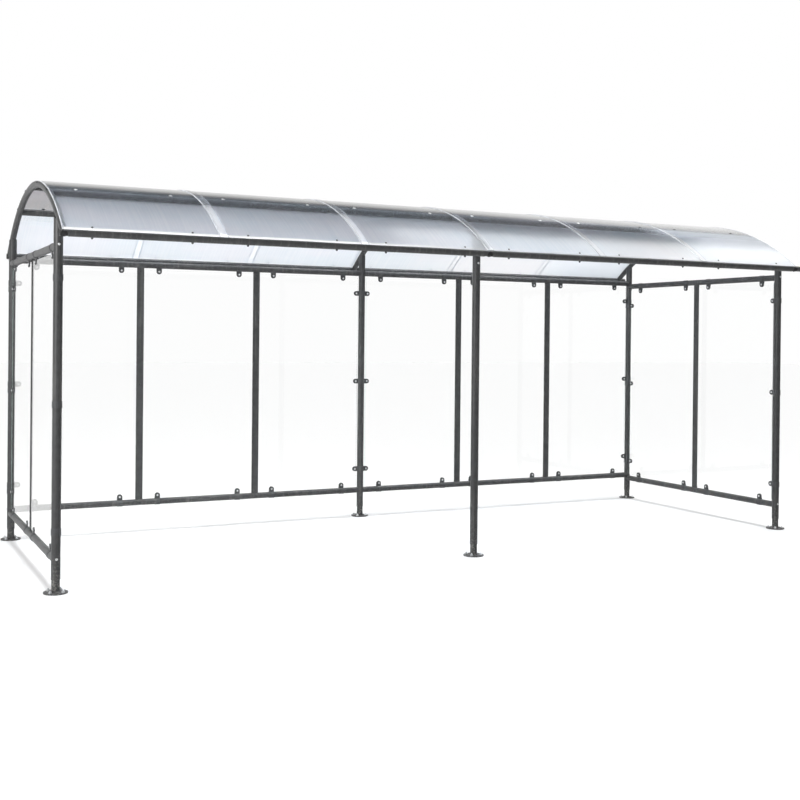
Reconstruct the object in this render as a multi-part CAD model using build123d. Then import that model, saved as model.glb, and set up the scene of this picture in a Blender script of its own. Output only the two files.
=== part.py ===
import os
from math import asin, cos, degrees, radians, sin, sqrt

from build123d import *

os.makedirs("parts", exist_ok=True)

# Frame: X runs along the shelter, Y from the open front to the rear wall, Z up from the floor.
# Every length is in millimetres.

# Overall layout, taken on the axes of the round tubes
length = 6000.0
depth = 2030.0
bay_count = 6
rib_top = 2663.0
eave_overhang = 177.0
eave_height = 2224.0
side_rail_low = 205.0
side_rail_drop = 69.0
rear_rail_lift = 30.0

# Tubes
post_dia = 58.0
post_wall = 2.5
tube_dia = 50.0
tube_wall = 2.5
rib_dia = 45.0
rib_wall = 2.5
slide_gap = 0.3
cope_gap = 0.2
post_saddle = 8.0

# Feet
flange_dia = 150.0
flange_thick = 8.0
flange_pcd = 110.0
flange_hole = 12.0
flange_hole_count = 4
foot_wall = 3.5
post_start = 85.0
foot_insert = 100.0

# Spigots that carry the eave tubes at the end of each rib
spigot_wall = 3.0
spigot_insert = 80.0
middle_gap = 80.0
eave_end = 28.0
spigot_overhang_left = 24.0
spigot_overhang_right = 74.0

# Purlins on either side of the ridge
purlin_offset = 650.0

# Roof sheets
sheet_thick = 4.0
sheet_lap = 70.0
sheet_step = 6.0
sheet_tail = 3.0
lap_play = 0.2

# Glass and the inner strips that cover its joints
glass_thick = 8.0
glass_post_edge = 43.0
glass_rail_edge = 40.0
glass_joint = 12.0
bar_width = 58.0
bar_thick = 6.0

# Clips that grip the glass
clip_wall = 2.5
clip_height = 42.0
clip_ear_reach = 44.0
clip_ear_thick = 4.0
clip_play = 0.2
clip_stack = 46.0
clip_row_low = 175.0
clip_row_high = 197.0
clip_from_post = 186.0
clip_from_bar = 155.0

# Derived sizes
half_length = length / 2
half_depth = depth / 2
bay = length / bay_count
post_radius = post_dia / 2
tube_radius = tube_dia / 2
rib_half = rib_dia / 2
eave_y = half_depth + eave_overhang
roof_rise = rib_top - eave_height

# One arc, the underside of the roof sheets, lies on the ribs, the ridge, the purlins and the eaves
sheet_radius = (eave_y**2 + roof_rise**2 - tube_radius**2) / (2 * (roof_rise - tube_radius))
arc_centre = rib_top - sheet_radius
rib_radius = sheet_radius - rib_half
purlin_radius = sheet_radius - tube_radius
eave_angle = degrees(asin(eave_y / purlin_radius))
sheet_angle = eave_angle + degrees(sheet_tail / sheet_radius)
purlin_height = arc_centre + sqrt(purlin_radius**2 - purlin_offset**2)

# Other sizes that follow
side_rail_high = eave_height - side_rail_drop
rear_rail_low = side_rail_low + rear_rail_lift
rear_rail_high = side_rail_high + rear_rail_lift
clip_low = side_rail_low + clip_row_low
clip_high = side_rail_high - clip_row_high
clip_rows = (clip_low, (clip_low + clip_high) / 2, clip_high)
spigot_dia = tube_dia - 2 * tube_wall - 2 * slide_gap
foot_dia = post_dia - 2 * post_wall - 2 * slide_gap
post_x = (-half_length, 0.0, half_length)
column_names = ("left", "middle", "right")
row_names = ("front", "rear")
row_y = (-half_depth, half_depth)


def save(shape, node):
    """Write one named piece."""
    export_step(shape, f"parts/{node}.step")


def rod(radius, start, end):
    """Solid round bar between two points."""
    axis = Vector(*end) - Vector(*start)
    plane = Plane(origin=start, z_dir=axis)
    return extrude(plane * Circle(radius), axis.length)


def tube(radius, wall, start, end):
    """Open round tube between two points."""
    axis = Vector(*end) - Vector(*start)
    plane = Plane(origin=start, z_dir=axis)
    ring = Circle(radius) - Circle(radius - wall)
    return extrude(plane * ring, axis.length)


def arc_path(radius, angle, x):
    """Arc over the shelter at one station along its length, from front to rear."""
    side = radius * sin(radians(angle))
    low = arc_centre + radius * cos(radians(angle))
    return ThreePointArc((x, -side, low), (x, 0, arc_centre + radius), (x, side, low))


def rib_bar(radius, x, angle):
    """Solid bent bar that follows the rib's axis."""
    path = arc_path(rib_radius, angle, x)
    start = Plane(origin=path @ 0, z_dir=path % 0)
    return sweep(start * Circle(radius), path)


def roof_shell(radius, thick, start, end):
    """Curved shell between two stations along the shelter."""
    outer = arc_path(radius + thick, sheet_angle, start)
    inner = arc_path(radius, sheet_angle, start)
    front = Line(outer @ 0, inner @ 0)
    rear = Line(inner @ 1, outer @ 1)
    face = make_face([outer, front, inner, rear])
    return extrude(face, end - start, dir=(1, 0, 0))


def post_solid(x, y):
    """Full round core of a post, used to shape the tubes that meet it."""
    return rod(post_radius + cope_gap, (x, y, 0), (x, y, rib_top))


def rail(start, end, posts):
    """Tube between two posts with its ends shaped to them."""
    piece = tube(tube_radius, tube_wall, start, end)
    for post in posts:
        piece = piece - post
    return piece


def one_solid(shape):
    """The largest solid of a shape whose trimming left loose ends."""
    return max(shape.solids(), key=lambda solid: solid.volume)


# Ribs: bent tubes with a cross spigot at each end
rib_cores = {}
for column, x in zip(column_names, post_x):
    rib_cores[column] = rib_bar(rib_half + cope_gap, x, eave_angle)
    spigot_start = x - middle_gap / 2 - spigot_insert
    spigot_end = x + middle_gap / 2 + spigot_insert
    if column == "left":
        spigot_start = x - spigot_overhang_left
        spigot_end = x + eave_end + spigot_insert
    if column == "right":
        spigot_start = x - eave_end - spigot_insert
        spigot_end = x + spigot_overhang_right
    shell = rib_bar(rib_half, x, eave_angle) - rib_bar(rib_half - rib_wall, x, eave_angle)
    for y in (-eave_y, eave_y):
        shell = shell - rod(spigot_dia / 2, (spigot_start, y, eave_height), (spigot_end, y, eave_height))
    shell = one_solid(shell)
    for y in (-eave_y, eave_y):
        ends = ((spigot_start, y, eave_height), (spigot_end, y, eave_height))
        shell = shell + tube(spigot_dia / 2, spigot_wall, *ends)
    save(shell, f"rib_{column}")

# Posts: their tops follow the rib's curve and run a little way up its sides
saddle_radius = rib_radius - rib_half + post_saddle
for row, y in zip(row_names, row_y):
    for column, x in zip(column_names, post_x):
        core = tube(post_radius, post_wall, (x, y, post_start), (x, y, rib_top))
        under_rib = rod(saddle_radius, (x - post_dia, 0, arc_centre), (x + post_dia, 0, arc_centre))
        above = Pos(x, y, rib_top) * Box(post_dia * 2, post_dia * 2, 2 * (rib_top - eave_height))
        trimmed = core - (above - under_rib) - rib_cores[column]
        save(one_solid(trimmed), f"post_{row}_{column}")

# Feet: a round flange with a spigot that runs up into the post
for row, y in zip(row_names, row_y):
    for column, x in zip(column_names, post_x):
        flange = rod(flange_dia / 2, (x, y, 0), (x, y, flange_thick))
        stem = rod(foot_dia / 2, (x, y, 0), (x, y, post_start + foot_insert))
        bore = rod(foot_dia / 2 - foot_wall, (x, y, flange_thick), (x, y, post_start + foot_insert))
        foot = flange + stem - bore
        for hole in PolarLocations(flange_pcd / 2, flange_hole_count, start_angle=45):
            foot = foot - Pos(x, y, 0) * hole * Cylinder(flange_hole / 2, flange_thick * 3)
        save(foot, f"foot_{row}_{column}")

# Eave tubes: two lengths at the front and two at the rear
for row, y in (("front", -eave_y), ("rear", eave_y)):
    lengths = []
    for side in (-1, 1):
        start = (side * middle_gap / 2, y, eave_height)
        end = (side * (half_length - eave_end), y, eave_height)
        lengths.append(tube(tube_radius, tube_wall, start, end))
    save(Compound(lengths), f"eave_{row}")

# Ridge and purlins: two lengths each, shaped to the ribs
for node, y, z in (
    ("ridge", 0.0, rib_top - tube_radius),
    ("purlin_front", -purlin_offset, purlin_height),
    ("purlin_rear", purlin_offset, purlin_height),
):
    lengths = []
    for first, second in (("left", "middle"), ("middle", "right")):
        start = post_x[column_names.index(first)]
        end = post_x[column_names.index(second)]
        piece = tube(tube_radius, tube_wall, (start, y, z), (end, y, z))
        piece = piece - rib_cores[first] - rib_cores[second]
        lengths.append(one_solid(piece))
    save(Compound(lengths), node)

# Rails of the rear wall
for level, z in (("low", rear_rail_low), ("high", rear_rail_high)):
    for side, start, end in (("left", -half_length, 0.0), ("right", 0.0, half_length)):
        posts = [post_solid(start, half_depth), post_solid(end, half_depth)]
        piece = rail((start, half_depth, z), (end, half_depth, z), posts)
        save(one_solid(piece), f"rail_rear_{level}_{side}")

# Rails of the two end walls
for side, x in (("left", -half_length), ("right", half_length)):
    for level, z in (("low", side_rail_low), ("high", side_rail_high)):
        posts = [post_solid(x, -half_depth), post_solid(x, half_depth)]
        piece = rail((x, -half_depth, z), (x, half_depth, z), posts)
        save(one_solid(piece), f"rail_{side}_{level}")


def wall_plane(kind, along):
    """Local frame of a wall: x runs along the wall, y is its normal and z points up."""
    if kind == "rear":
        return Pos(along, half_depth, 0)
    if kind == "left":
        return Pos(-half_length, along, 0) * Rot(0, 0, 90)
    return Pos(half_length, along, 0) * Rot(0, 0, 90)


def block(along, through, height):
    """Box between two limits in each direction of a wall."""
    size = (along[1] - along[0], through[1] - through[0], height[1] - height[0])
    middle = (sum(along) / 2, sum(through) / 2, sum(height) / 2)
    return Pos(*middle) * Box(*size)


def joint_strip(inside, low, high):
    """Flat bar over a glass joint, on the inner face, with its ends shaped to the rails."""
    near = inside * glass_thick / 2
    far = inside * (glass_thick / 2 + bar_thick)
    strip = block((-bar_width / 2, bar_width / 2), (min(near, far), max(near, far)), (low, high))
    for z in (low, high):
        strip = strip - rod(tube_radius + cope_gap, (-bar_width, 0, z), (bar_width, 0, z))
    return strip


def pane(start, end, low, high):
    """Glass panel held in the plane of the tubes."""
    half_glass = glass_thick / 2
    return block((start, end), (-half_glass, half_glass), (low + glass_rail_edge, high - glass_rail_edge))


def clip(radius, sides=(0,)):
    """Collar round an upright tube, with a pair of rounded ears on each side that has glass."""
    inner = radius + clip_play
    outer = inner + clip_wall
    ear_end = outer + clip_ear_reach
    round_radius = clip_height / 2
    half_glass = glass_thick / 2 + clip_play
    through = (-half_glass - clip_ear_thick, half_glass + clip_ear_thick)
    tip = Pos(ear_end - round_radius, 0, 0) * Rot(90, 0, 0)
    ear = block((0, ear_end - round_radius), through, (-round_radius, round_radius))
    ear = ear + tip * Cylinder(round_radius, through[1] - through[0])
    slot = block((inner - clip_wall, ear_end * 2), (-half_glass, half_glass), (-clip_height, clip_height))
    body = Cylinder(outer, clip_height)
    for angle in sides:
        body = body + Rot(0, 0, angle) * ear
    body = body - Cylinder(inner, clip_height * 2)
    for angle in sides:
        body = body - Rot(0, 0, angle) * slot
    return body


post_clips_by_side = {
    "first": clip(post_radius),
    "last": clip(post_radius, (180,)),
    "between": clip(post_radius, (0, 180)),
}
rail_clip = clip(tube_radius)


def wall_nodes(kind, posts, bars, low, high):
    """Panels, strips and clips of one wall, each as a list of solids."""
    edges = sorted(posts + bars)
    panels = []
    strips = []
    post_clips = []
    rail_clips = []
    for first, second in zip(edges[:-1], edges[1:]):
        start = first + (glass_post_edge if first in posts else glass_joint / 2)
        end = second - (glass_post_edge if second in posts else glass_joint / 2)
        panels.append(wall_plane(kind, 0) * pane(start, end, low, high))
        stations = (
            first + (clip_from_post if first in posts else clip_from_bar),
            second - (clip_from_post if second in posts else clip_from_bar),
        )
        for station in stations:
            for z, turn in ((low, -90), (high, 90)):
                rail_clips.append(wall_plane(kind, station) * Pos(0, 0, z) * Rot(0, turn, 0) * rail_clip)
    for station in posts:
        place = "first" if station == posts[0] else "last" if station == posts[-1] else "between"
        for z in clip_rows:
            level = z + clip_stack if kind == "rear" else z
            post_clips.append(wall_plane(kind, station) * Pos(0, 0, level) * post_clips_by_side[place])
    for station in bars:
        inside = 1 if kind == "right" else -1
        strips.append(wall_plane(kind, station) * joint_strip(inside, low, high))
    return panels, strips, post_clips, rail_clips


rear_bars = [index * bay - half_length for index in (1, 2, 4, 5)]
rear = wall_nodes("rear", list(post_x), rear_bars, rear_rail_low, rear_rail_high)
save(Compound(rear[0][:3]), "glass_rear_left")
save(Compound(rear[0][3:]), "glass_rear_right")
save(Compound(rear[1]), "strips_rear")
save(Compound(rear[2]), "clips_rear_posts")
save(Compound(rear[3]), "clips_rear_rails")

for side in ("left", "right"):
    wall = wall_nodes(side, list(row_y), [0.0], side_rail_low, side_rail_high)
    save(Compound(wall[0]), f"glass_{side}")
    save(Compound(wall[1]), f"strips_{side}")
    save(Compound(wall[2] + wall[3]), f"clips_{side}")

# Roof sheets: each one steps up over the edge of its neighbour on the left
for index in range(bay_count):
    left = index * bay - half_length
    right = left + bay
    body_start = left if index == 0 else left + sheet_lap / 2 + lap_play
    body_end = right if index == bay_count - 1 else right + sheet_lap / 2
    sheet = roof_shell(sheet_radius, sheet_thick, body_start, body_end)
    if index > 0:
        lap_end = body_start + sheet_step
        sheet = sheet + roof_shell(sheet_radius + sheet_thick, sheet_thick, left - sheet_lap / 2, lap_end)
    save(sheet, f"roof_sheet_{index + 1}")
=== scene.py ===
import logging
from dataclasses import dataclass, field
from enum import Enum
from math import asin, cos, pi, radians, sin
from typing import Iterable, Sequence

import bpy
import numpy as np
from mathutils import Matrix, Vector


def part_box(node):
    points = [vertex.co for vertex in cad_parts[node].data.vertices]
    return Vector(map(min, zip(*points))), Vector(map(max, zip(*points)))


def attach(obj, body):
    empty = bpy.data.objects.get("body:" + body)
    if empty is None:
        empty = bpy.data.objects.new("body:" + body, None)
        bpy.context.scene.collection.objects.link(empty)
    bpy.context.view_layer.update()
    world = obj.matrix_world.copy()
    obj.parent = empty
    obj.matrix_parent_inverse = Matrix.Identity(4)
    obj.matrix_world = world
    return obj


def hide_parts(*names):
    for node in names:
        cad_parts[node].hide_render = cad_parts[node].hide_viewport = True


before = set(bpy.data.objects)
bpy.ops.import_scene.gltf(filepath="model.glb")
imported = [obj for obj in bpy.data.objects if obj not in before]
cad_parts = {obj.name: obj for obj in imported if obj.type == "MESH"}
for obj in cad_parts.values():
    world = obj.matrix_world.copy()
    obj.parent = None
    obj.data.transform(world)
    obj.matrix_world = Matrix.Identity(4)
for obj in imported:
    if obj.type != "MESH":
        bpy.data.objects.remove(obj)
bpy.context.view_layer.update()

log = logging.getLogger("bike_shelter")

Array = np.ndarray
Socket = bpy.types.NodeSocket
Colour = tuple[float, float, float, float]
Point = tuple[float, float, float]
Span = tuple[float, float]

# Width of the laps between roof sheets, in metres. The finish and the mesh both use it.
SHEET_LAP = 0.040

# The part of the grain's tone that a finish spreads over its whole range.
TONE_RANGE = (0.3, 0.7)


class Wall(Enum):
    """The three glazed walls, each with the word that its node names carry."""

    REAR = "rear"
    LEFT = "left"
    RIGHT = "right"

    @property
    def outward(self) -> Point:
        """The direction out of the shelter."""
        return {"rear": (0.0, 1.0, 0.0), "left": (-1.0, 0.0, 0.0), "right": (1.0, 0.0, 0.0)}[self.value]


class Fastener(Enum):
    """The kinds of small fixing that are turned from a profile."""

    ROOF_SCREW = "roof_screw"
    EAVE_SCREW = "eave_screw"
    CAP_NUT = "cap_nut"
    DOME_BOLT = "dome_bolt"
    STRIP_SCREW = "strip_screw"
    WASHER = "washer"
    ANCHOR_NUT = "anchor_nut"
    HOLE_PLUG = "hole_plug"
    SPIGOT_PLUG = "spigot_plug"


class Wiring:
    """Short calls that add and join nodes in one node tree."""

    def __init__(self, tree: bpy.types.NodeTree) -> None:
        """Work on one tree.

        Args:
            tree: the node tree that gets the nodes.
        """
        self.tree = tree

    def feed(self, socket: Socket, value: object) -> None:
        """Link a socket, or set its constant.

        Args:
            socket: the input that gets the value.
            value: another node's output, or a plain value.
        """
        if isinstance(value, bpy.types.NodeSocket):
            self.tree.links.new(value, socket)
        else:
            socket.default_value = value

    def node(self, kind: str, inputs: dict | None = None, **settings: object) -> bpy.types.Node:
        """Add one node.

        Args:
            kind: Blender's name for the node type.
            inputs: values or outputs for its inputs, by name or place.
            settings: properties of the node itself.

        Returns:
            The new node.
        """
        made = self.tree.nodes.new(kind)
        for name, value in settings.items():
            setattr(made, name, value)
        for name, value in (inputs or {}).items():
            self.feed(made.inputs[name], value)
        return made

    def math(self, operation: str, first: object, second: object = 0.0, clamp: bool = False) -> Socket:
        """One step of arithmetic.

        Args:
            operation: Blender's name for the operation.
            first: its first operand.
            second: its second operand, where it has one.
            clamp: True to keep the result between 0 and 1.

        Returns:
            The result.
        """
        inputs = {0: first, 1: second}
        return self.node("ShaderNodeMath", inputs, operation=operation, use_clamp=clamp).outputs[0]

    def ramp(self, value: object, low: float, high: float, start: object = 0.0, end: object = 1.0) -> Socket:
        """Map a value from one range to another, held at the ends, with soft shoulders.

        Args:
            value: the value to map.
            low: where the result is start.
            high: where the result is end.
            start: the result at low.
            end: the result at high.

        Returns:
            The mapped value.
        """
        inputs = {"Value": value, "From Min": low, "From Max": high, "To Min": start, "To Max": end}
        return self.node("ShaderNodeMapRange", inputs, interpolation_type="SMOOTHSTEP").outputs[0]

    def blend(self, factor: object, first: object, second: object, way: str = "MIX") -> Socket:
        """Mix two colours.

        Args:
            factor: 0 for the first, 1 for the second.
            first: the first colour.
            second: the second colour.
            way: Blender's name for how they mix.

        Returns:
            The mixed colour.
        """
        mix = self.node("ShaderNodeMix", data_type="RGBA", blend_type=way, clamp_factor=True)
        self.feed(mix.inputs[0], factor)
        self.feed(mix.inputs[6], first)
        self.feed(mix.inputs[7], second)
        return mix.outputs[2]

    def noise(self, place: object, scale: object, detail: float = 2.0, stretch: Point = (1, 1, 1)) -> Socket:
        """Soft noise from 0 to 1.

        Args:
            place: the coordinates that it follows.
            scale: how many of its cells there are to a metre.
            detail: how many finer layers it has.
            stretch: how the coordinates are scaled first, along X, Y and Z.

        Returns:
            The noise value.
        """
        mapped = self.node("ShaderNodeMapping", {"Vector": place, "Scale": stretch}).outputs[0]
        inputs = {"Vector": mapped, "Scale": scale, "Detail": detail}
        return self.node("ShaderNodeTexNoise", inputs).outputs["Fac"]

    def bump(self, height: Socket, strength: float, depth: float) -> Socket:
        """A normal that is tilted by a height.

        Args:
            height: the height, from 0 to 1.
            strength: how much of the tilt shows.
            depth: how far 1 stands over 0, in metres.

        Returns:
            The normal.
        """
        inputs = {"Height": height, "Strength": strength, "Distance": depth}
        return self.node("ShaderNodeBump", inputs).outputs[0]

    def open_to_light(self, surface: Socket, tint: Colour) -> Socket:
        """Let the lamps shine straight through a clear surface, so that its shadow is pale.

        Args:
            surface: the shader that is seen.
            tint: what the light keeps of each colour.

        Returns:
            A shader that is the surface to every ray but a shadow ray, which meets a tinted film.
        """
        film = self.node("ShaderNodeBsdfTransparent", {"Color": tint})
        in_shade = self.node("ShaderNodeLightPath").outputs["Is Shadow Ray"]
        return self.node("ShaderNodeMixShader", {0: in_shade, 1: surface, 2: film.outputs[0]}).outputs[0]


def scaled(colour: Colour, share: float) -> Colour:
    """A colour made lighter or darker.

    Args:
        colour: the colour.
        share: what its three channels are multiplied by.

    Returns:
        The new colour, opaque.
    """
    return tuple(channel * share for channel in colour[:3]) + (1,)


def open_group(
    name: str, inputs: dict[str, float], outputs: Sequence[str]
) -> tuple[bpy.types.NodeTree, Wiring, bpy.types.Node, bpy.types.Node]:
    """Start a shader node group that takes a place and plain values.

    Args:
        name: the group's name.
        inputs: each float input with its default value.
        outputs: the names of its float outputs.

    Returns:
        The group's tree, its wiring, its input node and its output node.
    """
    tree = bpy.data.node_groups.new(name, "ShaderNodeTree")
    tree.interface.new_socket(name="Place", in_out="INPUT", socket_type="NodeSocketVector")
    for key, value in inputs.items():
        socket = tree.interface.new_socket(name=key, in_out="INPUT", socket_type="NodeSocketFloat")
        socket.default_value = value
    for key in outputs:
        tree.interface.new_socket(name=key, in_out="OUTPUT", socket_type="NodeSocketFloat")
    wires = Wiring(tree)
    return tree, wires, tree.nodes.new("NodeGroupInput"), tree.nodes.new("NodeGroupOutput")


class Effects:
    """The shader node groups that finishes are made with, each built once.

    A name in _NOISE is a number of cells to a metre and of finer layers. One in _STRETCH scales the
    coordinates, and one in _RANGE is the part of a value that the effect spreads from 0 to 1.
    """

    FINE_SHARE = 0.35
    PATCH_NOISE = (9.0, 5.0)
    PATCH_RANGE = (0.38, 0.72)
    UPWARD_RANGE = (0.25, 0.95)
    SPECKLE_NOISE = (75.0, 4.0)
    SPECKLE_RANGE = (0.45, 0.7)
    RUN_STRETCH = (1, 1, 0.035)
    RUN_RANGE = (0.5, 0.75)
    SMEAR_STRETCH = (1, 1, 0.45)
    SMEAR_RANGE = (0.48, 0.78)
    SPECK_NOISE = (140.0, 2.0)
    SPECK_RANGE = (0.6, 0.8)

    def __init__(self) -> None:
        """Build the groups."""
        self.grain = self.build_grain()
        self.dust = self.build_dust()
        self.runs = self.build_runs()
        self.smears = self.build_smears()

    def build_grain(self) -> bpy.types.NodeTree:
        """The orange-peel skin of a baked powder coat: fine cells over a slow swell."""
        inputs = {"Cells": 420.0, "Swell": 26.0}
        tree, wires, given, result = open_group("powder_grain", inputs, ("Height", "Tone"))
        place = given.outputs["Place"]
        fine = wires.noise(place, given.outputs["Cells"], 1.0)
        slow = wires.noise(place, given.outputs["Swell"], 3.0)
        height = wires.math("MULTIPLY", fine, self.FINE_SHARE)
        swell = wires.math("MULTIPLY", slow, 1 - self.FINE_SHARE)
        wires.feed(result.inputs["Height"], wires.math("ADD", height, swell))
        wires.feed(result.inputs["Tone"], slow)
        return tree

    def build_dust(self) -> bpy.types.NodeTree:
        """Dust that settles on faces turned up, in uneven patches, and splashes near the floor."""
        inputs = {"Settled": 0.5, "Splash": 0.5, "Splash Height": 0.35}
        tree, wires, given, result = open_group("settled_dust", inputs, ("Mask",))
        place = given.outputs["Place"]
        normal = wires.node("ShaderNodeTexCoord").outputs["Normal"]
        facing = wires.node("ShaderNodeSeparateXYZ", {0: normal}).outputs["Z"]
        height = wires.node("ShaderNodeSeparateXYZ", {0: place}).outputs["Z"]
        patches = wires.ramp(wires.noise(place, *self.PATCH_NOISE), *self.PATCH_RANGE)
        on_top = wires.math("MULTIPLY", wires.ramp(facing, *self.UPWARD_RANGE), patches)
        speckle = wires.ramp(wires.noise(place, *self.SPECKLE_NOISE), *self.SPECKLE_RANGE)
        reach = wires.math("DIVIDE", height, given.outputs["Splash Height"])
        low = wires.math("MULTIPLY", wires.ramp(reach, 1.0, 0.0), speckle)
        settled = wires.math("MULTIPLY", on_top, given.outputs["Settled"])
        splashed = wires.math("MULTIPLY", low, given.outputs["Splash"])
        wires.feed(result.inputs["Mask"], wires.math("MAXIMUM", settled, splashed, clamp=True))
        return tree

    def build_runs(self) -> bpy.types.NodeTree:
        """Faint upright marks that rain leaves: noise drawn out along Z."""
        tree, wires, given, result = open_group("rain_runs", {"Width": 55.0}, ("Mask",))
        streaks = wires.noise(given.outputs["Place"], given.outputs["Width"], 3.0, self.RUN_STRETCH)
        wires.feed(result.inputs["Mask"], wires.ramp(streaks, *self.RUN_RANGE))
        return tree

    def build_smears(self) -> bpy.types.NodeTree:
        """Wiped smears and drying marks on a clear surface."""
        tree, wires, given, result = open_group("wiped_smears", {"Size": 3.0}, ("Mask", "Speck"))
        place = given.outputs["Place"]
        wide = wires.noise(place, given.outputs["Size"], 4.0, self.SMEAR_STRETCH)
        fine = wires.noise(place, *self.SPECK_NOISE)
        wires.feed(result.inputs["Mask"], wires.ramp(wide, *self.SMEAR_RANGE))
        wires.feed(result.inputs["Speck"], wires.ramp(fine, *self.SPECK_RANGE))
        return tree

    def place(self, wires: Wiring, group: bpy.types.NodeTree, inputs: dict) -> bpy.types.Node:
        """Put one group in a material.

        Args:
            wires: the material's wiring.
            group: the group.
            inputs: values or outputs for its inputs.

        Returns:
            The group node.
        """
        return wires.node("ShaderNodeGroup", inputs, node_tree=group)


def start_material(name: str) -> tuple[bpy.types.Material, Wiring, bpy.types.Node, bpy.types.Node]:
    """A new material with one Principled shader.

    Args:
        name: the material's name.

    Returns:
        The material, its wiring, its Principled shader and its output node.
    """
    material = bpy.data.materials.new(name)
    material.use_nodes = True
    material.node_tree.nodes.clear()
    wires = Wiring(material.node_tree)
    shader = wires.node("ShaderNodeBsdfPrincipled")
    output = wires.node("ShaderNodeOutputMaterial", {"Surface": shader.outputs[0]})
    return material, wires, shader, output


@dataclass(frozen=True)
class PowderCoat:
    """Baked powder coat on steel, in a dark grey, with its skin, dust and rain marks."""

    name: str
    colour: Colour
    dust_colour: Colour = (0.30, 0.29, 0.27, 1)
    roughness: float = 0.40
    specular: float = 0.20
    settled: float = 0.25
    splash: float = 0.35
    cells: float = 420.0
    bump: float = 0.05
    bump_depth: float = 0.001
    light_gain: float = 1.22
    streaks: float = 0.14
    uneven_gloss: float = 0.12
    dust_roughness: float = 0.40

    def build(self, effects: Effects) -> bpy.types.Material:
        """Make the material.

        Args:
            effects: the shared node groups.

        Returns:
            The material.
        """
        material, wires, shader, _ = start_material(self.name)
        place = wires.node("ShaderNodeTexCoord").outputs["Object"]
        grain = effects.place(wires, effects.grain, {"Place": place, "Cells": self.cells})
        dust = effects.place(
            wires, effects.dust, {"Place": place, "Settled": self.settled, "Splash": self.splash}
        )
        runs = effects.place(wires, effects.runs, {"Place": place})
        light = scaled(self.colour, self.light_gain)
        toned = wires.blend(wires.ramp(grain.outputs["Tone"], *TONE_RANGE), self.colour, light)
        streaked = wires.math("MULTIPLY", runs.outputs["Mask"], self.streaks)
        marked = wires.blend(streaked, toned, self.dust_colour)
        wires.feed(shader.inputs["Base Color"], wires.blend(dust.outputs["Mask"], marked, self.dust_colour))
        rough = wires.math("MULTIPLY_ADD", grain.outputs["Tone"], self.uneven_gloss)
        rough.node.inputs[2].default_value = self.roughness - self.uneven_gloss / 2
        dust_and_highlight = wires.math("MULTIPLY", dust.outputs["Mask"], self.dust_roughness)
        wires.feed(shader.inputs["Roughness"], wires.math("ADD", rough, dust_and_highlight, clamp=True))
        normal = wires.bump(grain.outputs["Height"], self.bump, self.bump_depth)
        wires.feed(shader.inputs["Normal"], normal)
        shader.inputs["Specular IOR Level"].default_value = self.specular
        return material


@dataclass(frozen=True)
class Plated:
    """Plated steel, black plastic or rubber of small fixings, plugs and bands, slightly uneven."""

    name: str
    colour: Colour
    metallic: float = 1.0
    roughness: float = 0.32
    dull_share: float = 0.72
    gloss_play: Span = (-0.08, 0.14)
    cells: float = 900.0
    swell: float = 160.0
    bump: float = 0.08
    bump_depth: float = 0.0005

    def build(self, effects: Effects) -> bpy.types.Material:
        """Make the material.

        Args:
            effects: the shared node groups.

        Returns:
            The material.
        """
        material, wires, shader, _ = start_material(self.name)
        place = wires.node("ShaderNodeTexCoord").outputs["Object"]
        skin = {"Place": place, "Cells": self.cells, "Swell": self.swell}
        grain = effects.place(wires, effects.grain, skin)
        tone = grain.outputs["Tone"]
        dull = scaled(self.colour, self.dull_share)
        wires.feed(shader.inputs["Base Color"], wires.blend(tone, dull, self.colour))
        shader.inputs["Metallic"].default_value = self.metallic
        smooth, rough = (self.roughness + play for play in self.gloss_play)
        wires.feed(shader.inputs["Roughness"], wires.ramp(tone, *TONE_RANGE, smooth, rough))
        normal = wires.bump(grain.outputs["Height"], self.bump, self.bump_depth)
        wires.feed(shader.inputs["Normal"], normal)
        return material


@dataclass(frozen=True)
class ClearGlass:
    """Toughened glass with green cut edges, wiped smears and drying marks."""

    name: str
    through: Point
    tint: Colour = (0.994, 0.998, 0.997, 1)
    edge_tint: Colour = (0.42, 0.66, 0.58, 1)
    shade_tint: Colour = (0.93, 0.95, 0.94, 1)
    refraction: float = 1.3
    smear_haze: float = 0.025
    speck_haze: float = 0.03
    edge_haze: float = 0.3
    edge_facing: Span = (0.6, 0.3)

    def build(self, effects: Effects) -> bpy.types.Material:
        """Make the material.

        Args:
            effects: the shared node groups.

        Returns:
            The material.
        """
        material, wires, shader, output = start_material(self.name)
        coordinates = wires.node("ShaderNodeTexCoord")
        smears = effects.place(wires, effects.smears, {"Place": coordinates.outputs["Object"]})
        sides = {0: coordinates.outputs["Normal"], 1: self.through}
        across = wires.node("ShaderNodeVectorMath", sides, operation="DOT_PRODUCT")
        flat = wires.math("ABSOLUTE", across.outputs["Value"])
        cut_edge = wires.ramp(flat, *self.edge_facing)
        wires.feed(shader.inputs["Base Color"], wires.blend(cut_edge, self.tint, self.edge_tint))
        haze = wires.math("MULTIPLY", smears.outputs["Mask"], self.smear_haze)
        specks = wires.math("MULTIPLY", smears.outputs["Speck"], self.speck_haze)
        ground = wires.math("MULTIPLY", cut_edge, self.edge_haze)
        rough = wires.math("ADD", wires.math("ADD", haze, specks), ground)
        wires.feed(shader.inputs["Roughness"], rough)
        shader.inputs["IOR"].default_value = self.refraction
        shader.inputs["Transmission Weight"].default_value = 1.0
        wires.feed(output.inputs["Surface"], wires.open_to_light(shader.outputs[0], self.shade_tint))
        return material


@dataclass(frozen=True)
class SheetPoint:
    """What the roof sheet's finish knows of a point, as node outputs."""

    along: Socket
    reach: Socket
    across: Socket
    underside: Socket
    lap: Socket
    tail: Socket
    streaks: Socket
    clouds: Socket
    edge_on: Socket
    first_face: Socket


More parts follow.
